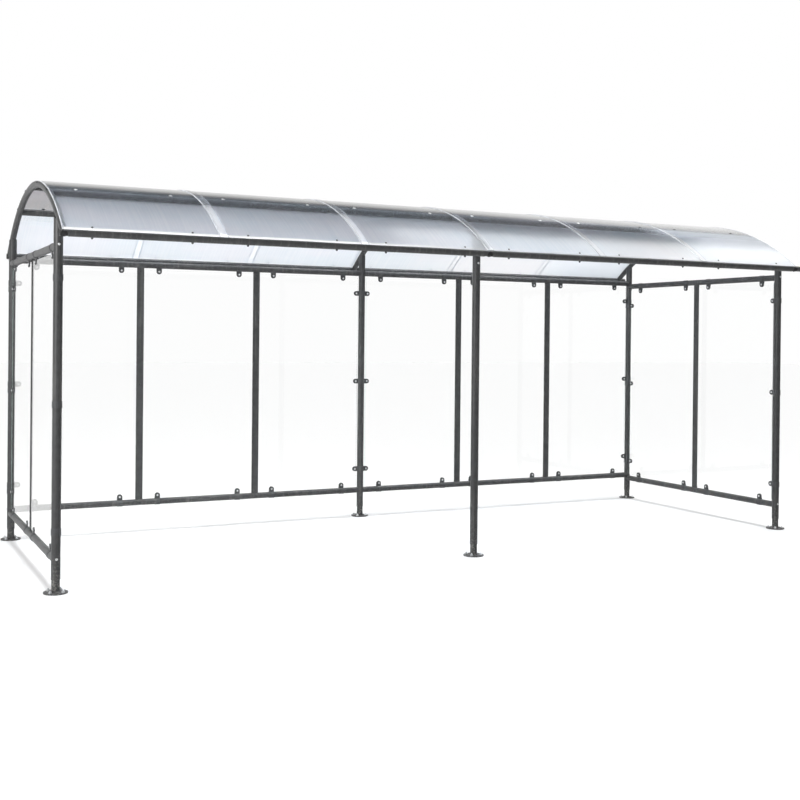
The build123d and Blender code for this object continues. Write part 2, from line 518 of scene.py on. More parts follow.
@dataclass(frozen=True)
class FlutedSheet:
    """Translucent fluted roof sheet that blurs what lies behind it.

    Light that enters keeps exp(-depth * loss / cosine) of each colour, so the sheet turns darker and
    bluer where it is seen along its surface. A share of the surface is pale and opaque instead: a
    little haze everywhere, the cut edges, the laps where dust gathers, the tails, whose pale band is
    dust and a painted highlight that is strongest at the left, a pale share painted low on the
    left-hand sheets for the light that they scatter, and a painted glare of light near the crown and
    towards the right end. The first face that a line of sight meets also mirrors the surroundings,
    most where it is seen edge on.

    A pair named _reach is two distances from the ridge line, and a pair named _from is two places
    along the shelter. The effect starts at the first and is full at the second.
    """

    name: str
    bay: float
    lap: float = SHEET_LAP
    lap_fade: float = 0.001
    lapped_bays: float = 2.5
    web_cells: Point = (90.0, 1.1, 1.1)
    rib_cells: Point = (260.0, 2.5, 2.5)
    web_share: float = 0.6
    cloud_cells: Point = (1.0, 1.6, 1.6)
    cloud_scale: float = 1.3
    streak_range: Span = (0.34, 0.66)
    cloud_range: Span = (0.3, 0.7)
    loss: Point = (0.088, 0.071, 0.041)
    least_cosine: float = 0.22
    rib_depth: Span = (-0.86, -1.16)
    cloud_red: Span = (1.2, 0.88)
    lap_loss: float = 0.45
    # Painted light: the lower parts towards the right lose less, so they look brighter.
    brightened_reach: Span = (0.80, 1.10)
    brightened_from: Span = (0.20, 1.40)
    brightened_loss: float = 0.50
    # Painted shade: the underside under the crown is tinted grey.
    painted_shade_reach: Span = (0.69, 0.63)
    painted_shade_tint: Colour = (0.58, 0.53, 0.50, 1)
    refraction: float = 1.2
    eave_blur: float = 0.50
    crown_blur: float = 0.14
    sharp_reach: Span = (0.86, 0.80)
    bump: float = 0.1
    bump_depth: float = 0.001
    haze: float = 0.010
    edge_across: Span = (0.5, 0.8)
    edge_veil: float = 0.7
    # The tails' pale band is dust and, stronger towards the left, a painted highlight.
    tail_start: float = 1.190
    tail_fade: float = 0.008
    tail_from: Span = (0.2, -1.2)
    tail_veil: Span = (0.15, 0.9)
    lap_haze: float = 0.04
    # Painted light: film is a pale share low on the left-hand sheets, for the light that they scatter.
    film: float = 0.15
    left_glow_end: float = -0.035
    left_glow_fade: float = 0.002
    left_glow_reach: Span = (0.815, 0.865)
    # Painted glare: a pale grey opaque share at the crown, on the flanks and towards the right end, for the
    # bright light seen on the sheets there.
    glare: float = 0.84
    crown_reach: Span = (0.70, 0.58)
    crown_from: Span = (0.45, 1.1)
    flank_reach: Span = (1.0, 0.7)
    flank_from: Span = (1.6, 2.3)
    end_from: Span = (1.8, 2.7)
    haze_colour: Colour = (0.80, 0.84, 0.90, 1)
    cloud_colour: Colour = (0.92, 0.94, 0.96, 1)
    cloud_tint: float = 0.4
    # White of the dust in laps and tails; on the tails it is also a painted highlight.
    dust_colour: Colour = (0.97, 0.975, 0.98, 1)
    glare_colour: Colour = (0.70, 0.72, 0.74, 1)
    body_roughness: Span = (0.30, 0.42)
    gloss: float = 0.18
    shine: float = 0.03
    shine_power: float = 8.0
    rim_cosine: Span = (0.21, 0.14)
    rim_shine: float = 0.95
    shade_tint: Colour = (0.90, 0.92, 0.95, 1)

    def lap_mask(self, wires: Wiring, along: Socket) -> Socket:
        """Where two sheets lie over each other.

        Args:
            wires: the material's wiring.
            along: X in the shelter's frame.

        Returns:
            1 inside a lap and 0 elsewhere. The distance to the nearest multiple of one bay is compared
            with half a lap, and the two free ends, past lapped_bays from the middle, are left out.
        """
        shifted = wires.math("ADD", wires.math("DIVIDE", along, self.bay), 0.5)
        offset = wires.math("SUBTRACT", wires.math("FRACT", shifted), 0.5)
        distance = wires.math("MULTIPLY", wires.math("ABSOLUTE", offset), self.bay)
        near = wires.ramp(distance, self.lap / 2 + self.lap_fade, self.lap / 2 - self.lap_fade)
        inside = wires.math("LESS_THAN", wires.math("ABSOLUTE", along), self.lapped_bays * self.bay)
        return wires.math("MULTIPLY", near, inside)

    def read_point(self, wires: Wiring) -> SheetPoint:
        """Find where a point is, which way it faces, and its streaks and clouds.

        Args:
            wires: the material's wiring.

        Returns:
            The node outputs. The streaks are noise drawn out down the slope, at two widths, and the
            clouds are slow noise.
        """
        coordinates = wires.node("ShaderNodeTexCoord").outputs
        place = coordinates["Object"]
        axes = wires.node("ShaderNodeSeparateXYZ", {0: place}).outputs
        normal = wires.node("ShaderNodeSeparateXYZ", {0: coordinates["Normal"]}).outputs
        reach = wires.math("ABSOLUTE", axes["Y"])
        webs = wires.math("MULTIPLY", wires.noise(place, 1.0, 2.0, self.web_cells), self.web_share)
        ribs = wires.math("MULTIPLY", wires.noise(place, 1.0, 1.0, self.rib_cells), 1 - self.web_share)
        clouds = wires.noise(place, self.cloud_scale, 3.0, self.cloud_cells)
        leaving = wires.node("ShaderNodeNewGeometry").outputs["Backfacing"]
        return SheetPoint(
            along=axes["X"],
            reach=reach,
            across=wires.math("ABSOLUTE", normal["X"]),
            underside=wires.math("LESS_THAN", normal["Z"], 0.0),
            lap=self.lap_mask(wires, axes["X"]),
            tail=wires.ramp(reach, self.tail_start, self.tail_start + self.tail_fade),
            streaks=wires.ramp(wires.math("ADD", webs, ribs), *self.streak_range),
            clouds=wires.ramp(clouds, *self.cloud_range),
            edge_on=wires.node("ShaderNodeLayerWeight", {"Blend": 0.5}).outputs["Facing"],
            first_face=wires.math("SUBTRACT", 1.0, leaving),
        )

    def zone(self, wires: Wiring, point: SheetPoint, reach: Span, along: Span) -> Socket:
        """A soft-edged part of the roof.

        Args:
            wires: the material's wiring.
            point: what is known of the point.
            reach: where it begins and is full, as distances from the ridge line.
            along: where it begins and is full along the shelter.

        Returns:
            The product of the two ramps.
        """
        return wires.math("MULTIPLY", wires.ramp(point.reach, *reach), wires.ramp(point.along, *along))

    def path_length(self, wires: Wiring, point: SheetPoint) -> Socket:
        """How far a line of sight runs inside the sheet.

        Args:
            wires: the material's wiring.
            point: what is known of the point.

        Returns:
            Minus the rib depth over the cosine of the angle to the face.
        """
        cosine = wires.math("MAXIMUM", wires.math("SUBTRACT", 1.0, point.edge_on), self.least_cosine)
        return wires.math("DIVIDE", wires.ramp(point.streaks, 0.0, 1.0, *self.rib_depth), cosine)

    def dimmed(self, wires: Wiring, point: SheetPoint, length: Socket) -> Socket:
        """The colour that white light keeps on its way through.

        Args:
            wires: the material's wiring.
            point: what is known of the point.
            length: minus the way inside the sheet.

        Returns:
            exp(length * loss) for red, green and blue, less loss in the laps, less on the lower parts at
            the right as painted light, uneven red with the clouds, and a painted grey shade on the underside
            under the crown.
        """
        # Painted light: the lower parts towards the right lose less, so they look brighter.
        brightened = self.zone(wires, point, self.brightened_reach, self.brightened_from)
        in_lap = wires.ramp(point.lap, 0.0, 1.0, 1.0, self.lap_loss)
        kept = wires.math("MULTIPLY", in_lap, wires.ramp(brightened, 0.0, 1.0, 1.0, self.brightened_loss))
        shared = wires.math("MULTIPLY", length, kept)
        uneven = wires.ramp(point.clouds, 0.0, 1.0, *self.cloud_red)
        channels = {
            place: wires.math("EXPONENT", wires.math("MULTIPLY", wires.math("MULTIPLY", shared, loss), share))
            for place, (loss, share) in enumerate(zip(self.loss, (uneven, 1.0, 1.0)))
        }
        clean = wires.node("ShaderNodeCombineColor", channels).outputs[0]
        # Painted shade: the underside under the crown is tinted grey.
        painted_shade = wires.math("MULTIPLY", point.underside, wires.ramp(point.reach, *self.painted_shade_reach))
        return wires.blend(painted_shade, clean, self.painted_shade_tint, "MULTIPLY")

    def glare_mask(self, wires: Wiring, point: SheetPoint) -> Socket:
        """The painted glare: a pale opaque share at the crown, on the flanks and towards the right end.

        Args:
            wires: the material's wiring.
            point: what is known of the point.

        Returns:
            How strong the painted glare is at the point.
        """
        # Painted light, laid on by place along and across the roof.
        crown = self.zone(wires, point, self.crown_reach, self.crown_from)
        flanks = self.zone(wires, point, self.flank_reach, self.flank_from)
        right = wires.math("MAXIMUM", wires.ramp(point.along, *self.end_from), flanks)
        return wires.math("MULTIPLY", wires.math("MAXIMUM", crown, right), self.glare)

    def opacity(self, wires: Wiring, point: SheetPoint, length: Socket, glare: Socket) -> Socket:
        """The share of a point that is pale and opaque.

        Args:
            wires: the material's wiring.
            point: what is known of the point.
            length: minus the way inside the sheet.
            glare: how strong the painted glare is at the point.

        Returns:
            The largest of the haze 1 - exp(length * haze), the cut edge, the tail, the painted glare, and the
            painted pale share low on the left and the lap together.
        """
        haze = wires.math("EXPONENT", wires.math("MULTIPLY", length, self.haze))
        veil = wires.math("SUBTRACT", 1.0, haze)
        cut_edge = wires.ramp(point.across, *self.edge_across, 0.0, self.edge_veil)
        # Painted highlight on the tails, strongest towards the left.
        tail_tone = wires.ramp(point.along, *self.tail_from, *self.tail_veil)
        tail = wires.math("MULTIPLY", point.tail, tail_tone)
        left_glow_edge = (self.left_glow_end, self.left_glow_end + self.left_glow_fade)
        # Painted light: the pale share low on the left-hand sheets.
        left_glow_share = wires.ramp(point.along, *left_glow_edge, self.film, 0.0)
        film = wires.math("MULTIPLY", left_glow_share, wires.ramp(point.reach, *self.left_glow_reach))
        # The painted pale share on the left, plus the dust in the laps.
        dust = wires.math("ADD", film, wires.math("MULTIPLY", point.lap, self.lap_haze))
        edges = wires.math("MAXIMUM", veil, cut_edge)
        hidden = wires.math("MAXIMUM", edges, wires.math("MAXIMUM", tail, glare))
        return wires.math("MAXIMUM", hidden, dust, clamp=True)

    def pale_colour(self, wires: Wiring, point: SheetPoint, glare: Socket) -> Socket:
        """The colour of the opaque share.

        Args:
            wires: the material's wiring.
            point: what is known of the point.
            glare: how strong the painted glare is at the point.

        Returns:
            The haze's colour, lighter in the clouds, white in laps and tails, and grey in the painted glare.
        """
        clouds = wires.math("MULTIPLY", point.clouds, self.cloud_tint)
        pale = wires.blend(clouds, self.haze_colour, self.cloud_colour)
        # Dust in the laps; dust and a painted highlight on the tails.
        dust_and_highlight = wires.blend(wires.math("MAXIMUM", point.tail, point.lap), pale, self.dust_colour)
        return wires.blend(glare, dust_and_highlight, self.glare_colour)

    def mirrored(self, wires: Wiring, point: SheetPoint) -> Socket:
        """How much of the surroundings a point mirrors.

        Args:
            wires: the material's wiring.
            point: what is known of the point.

        Returns:
            A little everywhere, plus the larger of a high power of how edge on the face is and a rim
            that starts at a small cosine. Only the first face that is met mirrors anything.
        """
        grazing = wires.math("POWER", point.edge_on, self.shine_power)
        cosine = wires.math("SUBTRACT", 1.0, point.edge_on)
        rim = wires.ramp(cosine, *self.rim_cosine, 0.0, self.rim_shine)
        share = wires.math("ADD", wires.math("MAXIMUM", grazing, rim), self.shine)
        return wires.math("MULTIPLY", share, point.first_face)

    def build(self, effects: Effects) -> bpy.types.Material:
        """Make the material.

        Args:
            effects: the shared node groups; not used.

        Returns:
            The material.
        """
        material, wires, shader, output = start_material(self.name)
        point = self.read_point(wires)
        length = self.path_length(wires, point)
        glare = self.glare_mask(wires, point)
        colour = self.pale_colour(wires, point, glare)
        normal = wires.bump(point.streaks, self.bump, self.bump_depth)

        near_crown = wires.ramp(point.reach, *self.sharp_reach)
        blur = wires.ramp(near_crown, 0.0, 1.0, self.eave_blur, self.crown_blur)
        bent = wires.node("ShaderNodeBsdfRefraction", {"IOR": self.refraction, "Normal": normal})
        entering = self.dimmed(wires, point, length)
        wires.feed(bent.inputs["Color"], wires.blend(point.first_face, (1, 1, 1, 1), entering))
        wires.feed(bent.inputs["Roughness"], wires.math("MULTIPLY", blur, point.first_face))

        wires.feed(shader.inputs["Base Color"], colour)
        wires.feed(shader.inputs["Roughness"], wires.ramp(point.streaks, 0.0, 1.0, *self.body_roughness))
        wires.feed(shader.inputs["Normal"], normal)
        shader.inputs["Specular IOR Level"].default_value = 0.0
        glow = wires.node("ShaderNodeBsdfTranslucent", {"Color": colour})
        lit = wires.node("ShaderNodeMixShader", {0: 0.5, 1: shader.outputs[0], 2: glow.outputs[0]})
        hidden = self.opacity(wires, point, length, glare)
        seen = wires.node("ShaderNodeMixShader", {0: hidden, 1: bent.outputs[0], 2: lit.outputs[0]})
        mirror = wires.node("ShaderNodeBsdfGlossy", {"Roughness": self.gloss, "Normal": normal})
        shares = {0: self.mirrored(wires, point), 1: seen.outputs[0], 2: mirror.outputs[0]}
        glossy = wires.node("ShaderNodeMixShader", shares).outputs[0]
        wires.feed(output.inputs["Surface"], wires.open_to_light(glossy, self.shade_tint))
        return material


@dataclass(frozen=True)
class EdgeHighlightBead:
    """Pale beads along the sheet edges, which catch the light; their pale colour is a painted highlight of
    the light on the cut edges.
    """

    name: str
    # The pale colour is a painted highlight along the sheet edges.
    colour: Colour = (0.88, 0.91, 0.95, 1)
    dull_share: float = 0.8
    gloss_range: Span = (0.15, 0.35)
    opacity: float = 0.75
    opacity_play: Span = (-0.2, 0.15)
    opacity_tone: Span = (0.2, 0.8)
    cells: float = 300.0
    swell: float = 12.0
    bump: float = 0.2
    bump_depth: float = 0.001

    def build(self, effects: Effects) -> bpy.types.Material:
        """Make the material.

        Args:
            effects: the shared node groups.

        Returns:
            The material.
        """
        material, wires, shader, _ = start_material(self.name)
        place = wires.node("ShaderNodeTexCoord").outputs["Object"]
        skin = {"Place": place, "Cells": self.cells, "Swell": self.swell}
        grain = effects.place(wires, effects.grain, skin)
        tone = grain.outputs["Tone"]
        dull = scaled(self.colour, self.dull_share)
        wires.feed(shader.inputs["Base Color"], wires.blend(tone, dull, self.colour))
        wires.feed(shader.inputs["Roughness"], wires.ramp(tone, *TONE_RANGE, *self.gloss_range))
        least, most = (self.opacity + play for play in self.opacity_play)
        wires.feed(shader.inputs["Alpha"], wires.ramp(tone, *self.opacity_tone, least, most))
        normal = wires.bump(grain.outputs["Height"], self.bump, self.bump_depth)
        wires.feed(shader.inputs["Normal"], normal)
        return material


class Palette:
    """Every finish of the shelter, built once."""

    def __init__(self, bay: float) -> None:
        """Build the materials.

        Args:
            bay: width of one bay of the shelter.
        """
        effects = Effects()
        anthracite = (0.048, 0.049, 0.050, 1)
        steel_black = (0.035, 0.037, 0.040, 1)
        matt_black = (0.006, 0.006, 0.007, 1)
        self.frame = PowderCoat("powder_coat_frame", anthracite).build(effects)
        self.clip = PowderCoat("powder_coat_clips", (0.052, 0.054, 0.056, 1), roughness=0.44).build(effects)
        self.foot = PowderCoat(
            "powder_coat_feet", (0.050, 0.051, 0.052, 1), splash=0.6, roughness=0.44
        ).build(effects)
        self.zinc = Plated("zinc_plate", (0.78, 0.79, 0.80, 1)).build(effects)
        self.dark = Plated("black_plate", steel_black, metallic=0.0, roughness=0.3).build(effects)
        self.rubber = Plated("black_rubber", matt_black, metallic=0.0, roughness=0.7).build(effects)
        self.sheet = FlutedSheet("fluted_sheet", bay).build(effects)
        self.bead = EdgeHighlightBead("edge_highlight_bead").build(effects)
        self.glass = {
            Wall.REAR: ClearGlass("glass_rear_wall", (0, 1, 0)).build(effects),
            Wall.LEFT: ClearGlass("glass_end_walls", (1, 0, 0)).build(effects),
        }
        self.glass[Wall.RIGHT] = self.glass[Wall.LEFT]


@dataclass(frozen=True)
class Surface:
    """A mesh: points as an array, and faces as rows of point numbers."""

    points: Array
    faces: list

    def joined(self, others: Iterable["Surface"]) -> "Surface":
        """This surface and others as one.

        Args:
            others: the surfaces to add.

        Returns:
            One surface.
        """
        pieces = [self, *others]
        starts = np.cumsum([0] + [len(piece.points) for piece in pieces[:-1]])
        points = np.concatenate([piece.points for piece in pieces])
        faces = [
            tuple(int(number) + int(start) for number in face)
            for piece, start in zip(pieces, starts)
            for face in piece.faces
        ]
        return Surface(points, faces)

    def flipped(self) -> "Surface":
        """The same surface with every face turned round.

        Returns:
            The new surface.
        """
        return Surface(self.points, [face[::-1] for face in self.faces])


def band_faces(rows: int, columns: int) -> list[list[int]]:
    """The quads between closed rings of points.

    Args:
        rows: how many rings there are.
        columns: how many points a ring has.

    Returns:
        The quads. Point (row, column) is number row * columns + column, and each quad goes from it
        along the ring and back along the next ring.
    """
    row = np.arange(rows - 1)[:, None] * columns
    column = np.arange(columns)[None, :]
    after = (column + 1) % columns
    beyond = row + columns
    quads = np.stack([row + column, row + after, beyond + after, beyond + column], axis=-1)
    return quads.reshape(-1, 4).tolist()


def flat_ended(points: Array) -> Surface:
    """A closed surface over rings of points, with one flat face over the first and the last ring.

    Args:
        points: the rings, by ring, place and axis.

    Returns:
        The surface.
    """
    rows, columns = points.shape[:2]
    faces = band_faces(rows, columns)
    faces.append(list(range(columns - 1, -1, -1)))
    faces.append(list(range((rows - 1) * columns, rows * columns)))
    return Surface(points.reshape(-1, 3), faces)


def point_ended(points: Array, ends: Array) -> Surface:
    """A closed surface over rings of points, with a fan of triangles to one point at each end.

    Args:
        points: the rings, by ring, place and axis.
        ends: the point before the first ring and the one after the last.

    Returns:
        The surface.
    """
    rows, columns = points.shape[:2]
    ring = np.arange(columns)
    after = (ring + 1) % columns
    last = (rows - 1) * columns
    first_end = np.full(columns, rows * columns)
    faces = band_faces(rows, columns)
    faces += np.stack([after, ring, first_end], axis=-1).tolist()
    faces += np.stack([last + ring, last + after, first_end + 1], axis=-1).tolist()
    return Surface(np.concatenate([points.reshape(-1, 3), ends]), faces)


def make_piece(
    name: str,
    surface: Surface,
    material: bpy.types.Material,
    smooth_angle: float = 35.0,
    map_points: Array | None = None,
) -> bpy.types.Object:
    """Put a surface in the scene as one piece of the shelter.

    Args:
        name: the piece's name.
        surface: its points and faces, in metres, in the shelter's frame.
        material: its finish.
        smooth_angle: edges sharper than this many degrees stay sharp.
        map_points: U and V of each point, if the piece has a map.

    Returns:
        The piece's object.
    """
    mesh = bpy.data.meshes.new(name)
    mesh.from_pydata(surface.points.tolist(), [], surface.faces)
    mesh.validate()
    mesh.shade_smooth()
    mesh.set_sharp_from_angle(angle=radians(smooth_angle))
    if map_points is not None:
        corner = np.zeros(len(mesh.loops), dtype=np.int32)
        mesh.loops.foreach_get("vertex_index", corner)
        layer = mesh.uv_layers.new(name="metres")
        layer.data.foreach_set("uv", map_points[corner].astype(np.float32).ravel())
    mesh.materials.append(material)
    piece = bpy.data.objects.new(name, mesh)
    bpy.context.scene.collection.objects.link(piece)
    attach(piece, "root")
    log.info("%s: %d faces", name, len(mesh.polygons))
    return piece


def dress_node(node: bpy.types.Object, material: bpy.types.Material) -> None:
    """Put one material in every slot of a node.

    Args:
        node: the node's object.
        material: its finish.
    """
    for slot in node.material_slots:
        slot.material = material


class Lathe:
    """Small turned and six-sided fixings, made once and set at many places.

    Each step of a profile is a radius, a height, and True where the fixing is six-sided there.
    """

    HEX_SIDES = 6
    UPRIGHT = 0.9
    PROFILES: dict[Fastener, tuple[tuple[float, float, bool], ...]] = {
        Fastener.ROOF_SCREW: (
            (0.0, -0.0005, False), (0.0125, -0.0005, False), (0.0125, 0.0010, False), (0.0075, 0.0022, False),
            (0.0060, 0.0018, True), (0.0060, 0.0036, True), (0.0045, 0.0040, False), (0.0, 0.0040, False),
        ),
        Fastener.EAVE_SCREW: (
            (0.0, -0.0005, False), (0.0075, -0.0005, False), (0.0075, 0.0010, False), (0.0055, 0.0014, True),
            (0.0055, 0.0038, True), (0.0040, 0.0042, False), (0.0, 0.0042, False),
        ),
        Fastener.CAP_NUT: (
            (0.0, -0.0005, False), (0.0085, -0.0005, False), (0.0085, 0.0012, False), (0.0068, 0.0013, True),
            (0.0068, 0.0055, True), (0.0052, 0.0075, False), (0.0036, 0.0100, False), (0.0, 0.0112, False),
        ),
        Fastener.DOME_BOLT: (
            (0.0, -0.0005, False), (0.0080, -0.0005, False), (0.0080, 0.0010, False), (0.0066, 0.0012, False),
            (0.0060, 0.0032, False), (0.0042, 0.0046, False), (0.0, 0.0052, False),
        ),
        Fastener.STRIP_SCREW: (
            (0.0, -0.0005, False), (0.0070, -0.0005, False), (0.0068, 0.0012, False), (0.0052, 0.0030, False),
            (0.0026, 0.0040, False), (0.0, 0.0042, False),
        ),
        Fastener.WASHER: (
            (0.0, -0.0003, False), (0.0110, -0.0003, False), (0.0108, 0.0018, False), (0.0070, 0.0024, False),
            (0.0060, 0.0050, False), (0.0, 0.0056, False),
        ),
        Fastener.ANCHOR_NUT: (
            (0.0, -0.0005, False), (0.0115, -0.0005, False), (0.0115, 0.0016, False), (0.0093, 0.0017, True),
            (0.0098, 0.0025, True), (0.0098, 0.0090, True), (0.0088, 0.0100, False), (0.0050, 0.0101, False),
            (0.0050, 0.0170, False), (0.0040, 0.0180, False), (0.0, 0.0180, False),
        ),
        Fastener.HOLE_PLUG: (
            (0.0, -0.0005, False), (0.0065, -0.0005, False), (0.0060, 0.0012, False), (0.0040, 0.0006, False),
            (0.0, 0.0004, False),
        ),
        Fastener.SPIGOT_PLUG: (
            (0.0, -0.0010, False), (0.0221, -0.0010, False), (0.0221, 0.0008, False), (0.0200, 0.0018, False),
            (0.0, 0.0020, False),
        ),
    }

    def __init__(self, sides: int = 24) -> None:
        """Choose how round the fixings are.

        Args:
            sides: points around, a multiple of twelve so that six-sided heads keep their corners.
        """
        self.turn = np.linspace(0, 2 * pi, sides, endpoint=False)

    def shape(self, kind: Fastener) -> Surface:
        """One fixing that stands up from the origin along Z.

        Args:
            kind: which fixing.

        Returns:
            Its surface. A point is (r cos a, r sin a, h) for each angle a and each profile step.
            On a six-sided step r is the flat's distance over the cosine of the angle to that flat.
        """
        steps = self.PROFILES[kind]
        radius = np.array([step[0] for step in steps])[:, None]
        height = np.array([step[1] for step in steps])[:, None]
        sided = np.array([step[2] for step in steps])[:, None]
        sector = 2 * pi / self.HEX_SIDES
        to_flat = np.mod(self.turn, sector) - sector / 2
        reach = np.where(sided, radius / np.cos(to_flat)[None, :], radius)
        across, up = reach * np.cos(self.turn), reach * np.sin(self.turn)
        points = np.stack([across, up, np.broadcast_to(height, reach.shape)], axis=-1)
        return point_ended(points[1:-1], points[[0, -1], 0])

    def set_at(self, kind: Fastener, places: Array, directions: Array) -> Surface:
        """One fixing repeated at many places.

        Args:
            kind: which fixing.
            places: where each one sits, one row each.
            directions: which way each one stands, one row each.

        Returns:
            All of them as one surface.
        """
        return self.repeated(self.shape(kind), places, directions)

    def repeated(self, unit: Surface, places: Array, directions: Array) -> Surface:
        """One surface repeated at many places.

        Args:
            unit: the surface, which stands up from the origin along Z.
            places: where each one sits, one row each.
            directions: which way each one stands, one row each.

        Returns:
            All of them as one surface. Each point p becomes place + x side + y other + z direction,
            where side and other are two unit vectors square to the direction, and side is level.
        """
        direction = directions / np.linalg.norm(directions, axis=1, keepdims=True)
        helper = np.where(np.abs(direction[:, 2:3]) > self.UPRIGHT, [[1.0, 0.0, 0.0]], [[0.0, 0.0, 1.0]])
        side = np.cross(helper, direction)
        side = side / np.linalg.norm(side, axis=1, keepdims=True)
        other = np.cross(direction, side)
        basis = np.stack([side, other, direction], axis=1)
        points = np.einsum("pk,nkd->npd", unit.points, basis) + places[:, None, :]
        count, size = len(places), len(unit.points)
        faces = [tuple(i + size * n for i in face) for n in range(count) for face in unit.faces]
        return Surface(points.reshape(-1, 3), faces)


@dataclass
class Layout:
    """Places on the shelter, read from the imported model."""

    post_x: dict[str, float] = field(default_factory=dict)
    row_y: dict[str, float] = field(default_factory=dict)
    bay_count: int = 6

    def __post_init__(self) -> None:
        """Read the posts, tubes, rails and roof curve."""
        for column in ("left", "middle", "right"):
            low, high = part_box(f"post_front_{column}")
            self.post_x[column] = (low.x + high.x) / 2
        for row in ("front", "rear"):
            low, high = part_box(f"post_{row}_middle")
            self.row_y[row] = (low.y + high.y) / 2
        self.post_radius = (high.x - low.x) / 2
        low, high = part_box("eave_rear")
        self.tube_radius = (high.z - low.z) / 2
        self.eave_y = (low.y + high.y) / 2
        self.eave_z = (low.z + high.z) / 2
        self.rib_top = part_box("rib_middle")[1].z
        self.sheet_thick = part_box("roof_sheet_1")[1].z - self.rib_top
        rise = self.rib_top - self.eave_z
        gap = rise - self.tube_radius
        self.sheet_radius = (self.eave_y**2 + rise**2 - self.tube_radius**2) / (2 * gap)
        self.curve_z = self.rib_top - self.sheet_radius
        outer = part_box("roof_sheet_1")[1].y
        self.sheet_angle = asin(outer / (self.sheet_radius + self.sheet_thick))
        self.bay = (self.post_x["right"] - self.post_x["left"]) / self.bay_count
        self.purlin_y = sum(corner.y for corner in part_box("purlin_rear")) / 2
        self.rails = {
            Wall.REAR: self.rail_levels("rail_rear_low_left", "rail_rear_high_left"),
            Wall.LEFT: self.rail_levels("rail_left_low", "rail_left_high"),
            Wall.RIGHT: self.rail_levels("rail_right_low", "rail_right_high"),
        }

    def rail_levels(self, low_node: str, high_node: str) -> Span:
        """Heights of the axes of two rails.

        Args:
            low_node: the lower rail's node.
            high_node: the upper rail's node.

        Returns:
            The two heights.
        """
        return tuple(sum(corner.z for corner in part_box(node)) / 2 for node in (low_node, high_node))

    def on_curve(self, x: Array, y: Array, above: float = 0.0) -> tuple[Array, Array]:
        """Points on the roof curve, with the direction that faces out of it.

        Args:
            x: places along the shelter.
            y: places across it.
            above: height over the underside of the sheets.

        Returns:
            The points and the outward directions. The curve is a circle about a line along X, so the
            direction is (0, y, sqrt(R R - y y)) / R and the point lies R from that line.
        """
        radius = self.sheet_radius + above
        z = np.sqrt(radius**2 - y**2)
        direction = np.stack([np.zeros_like(y), y, z], axis=-1) / radius
        return np.stack([x, y, z + self.curve_z], axis=-1), direction


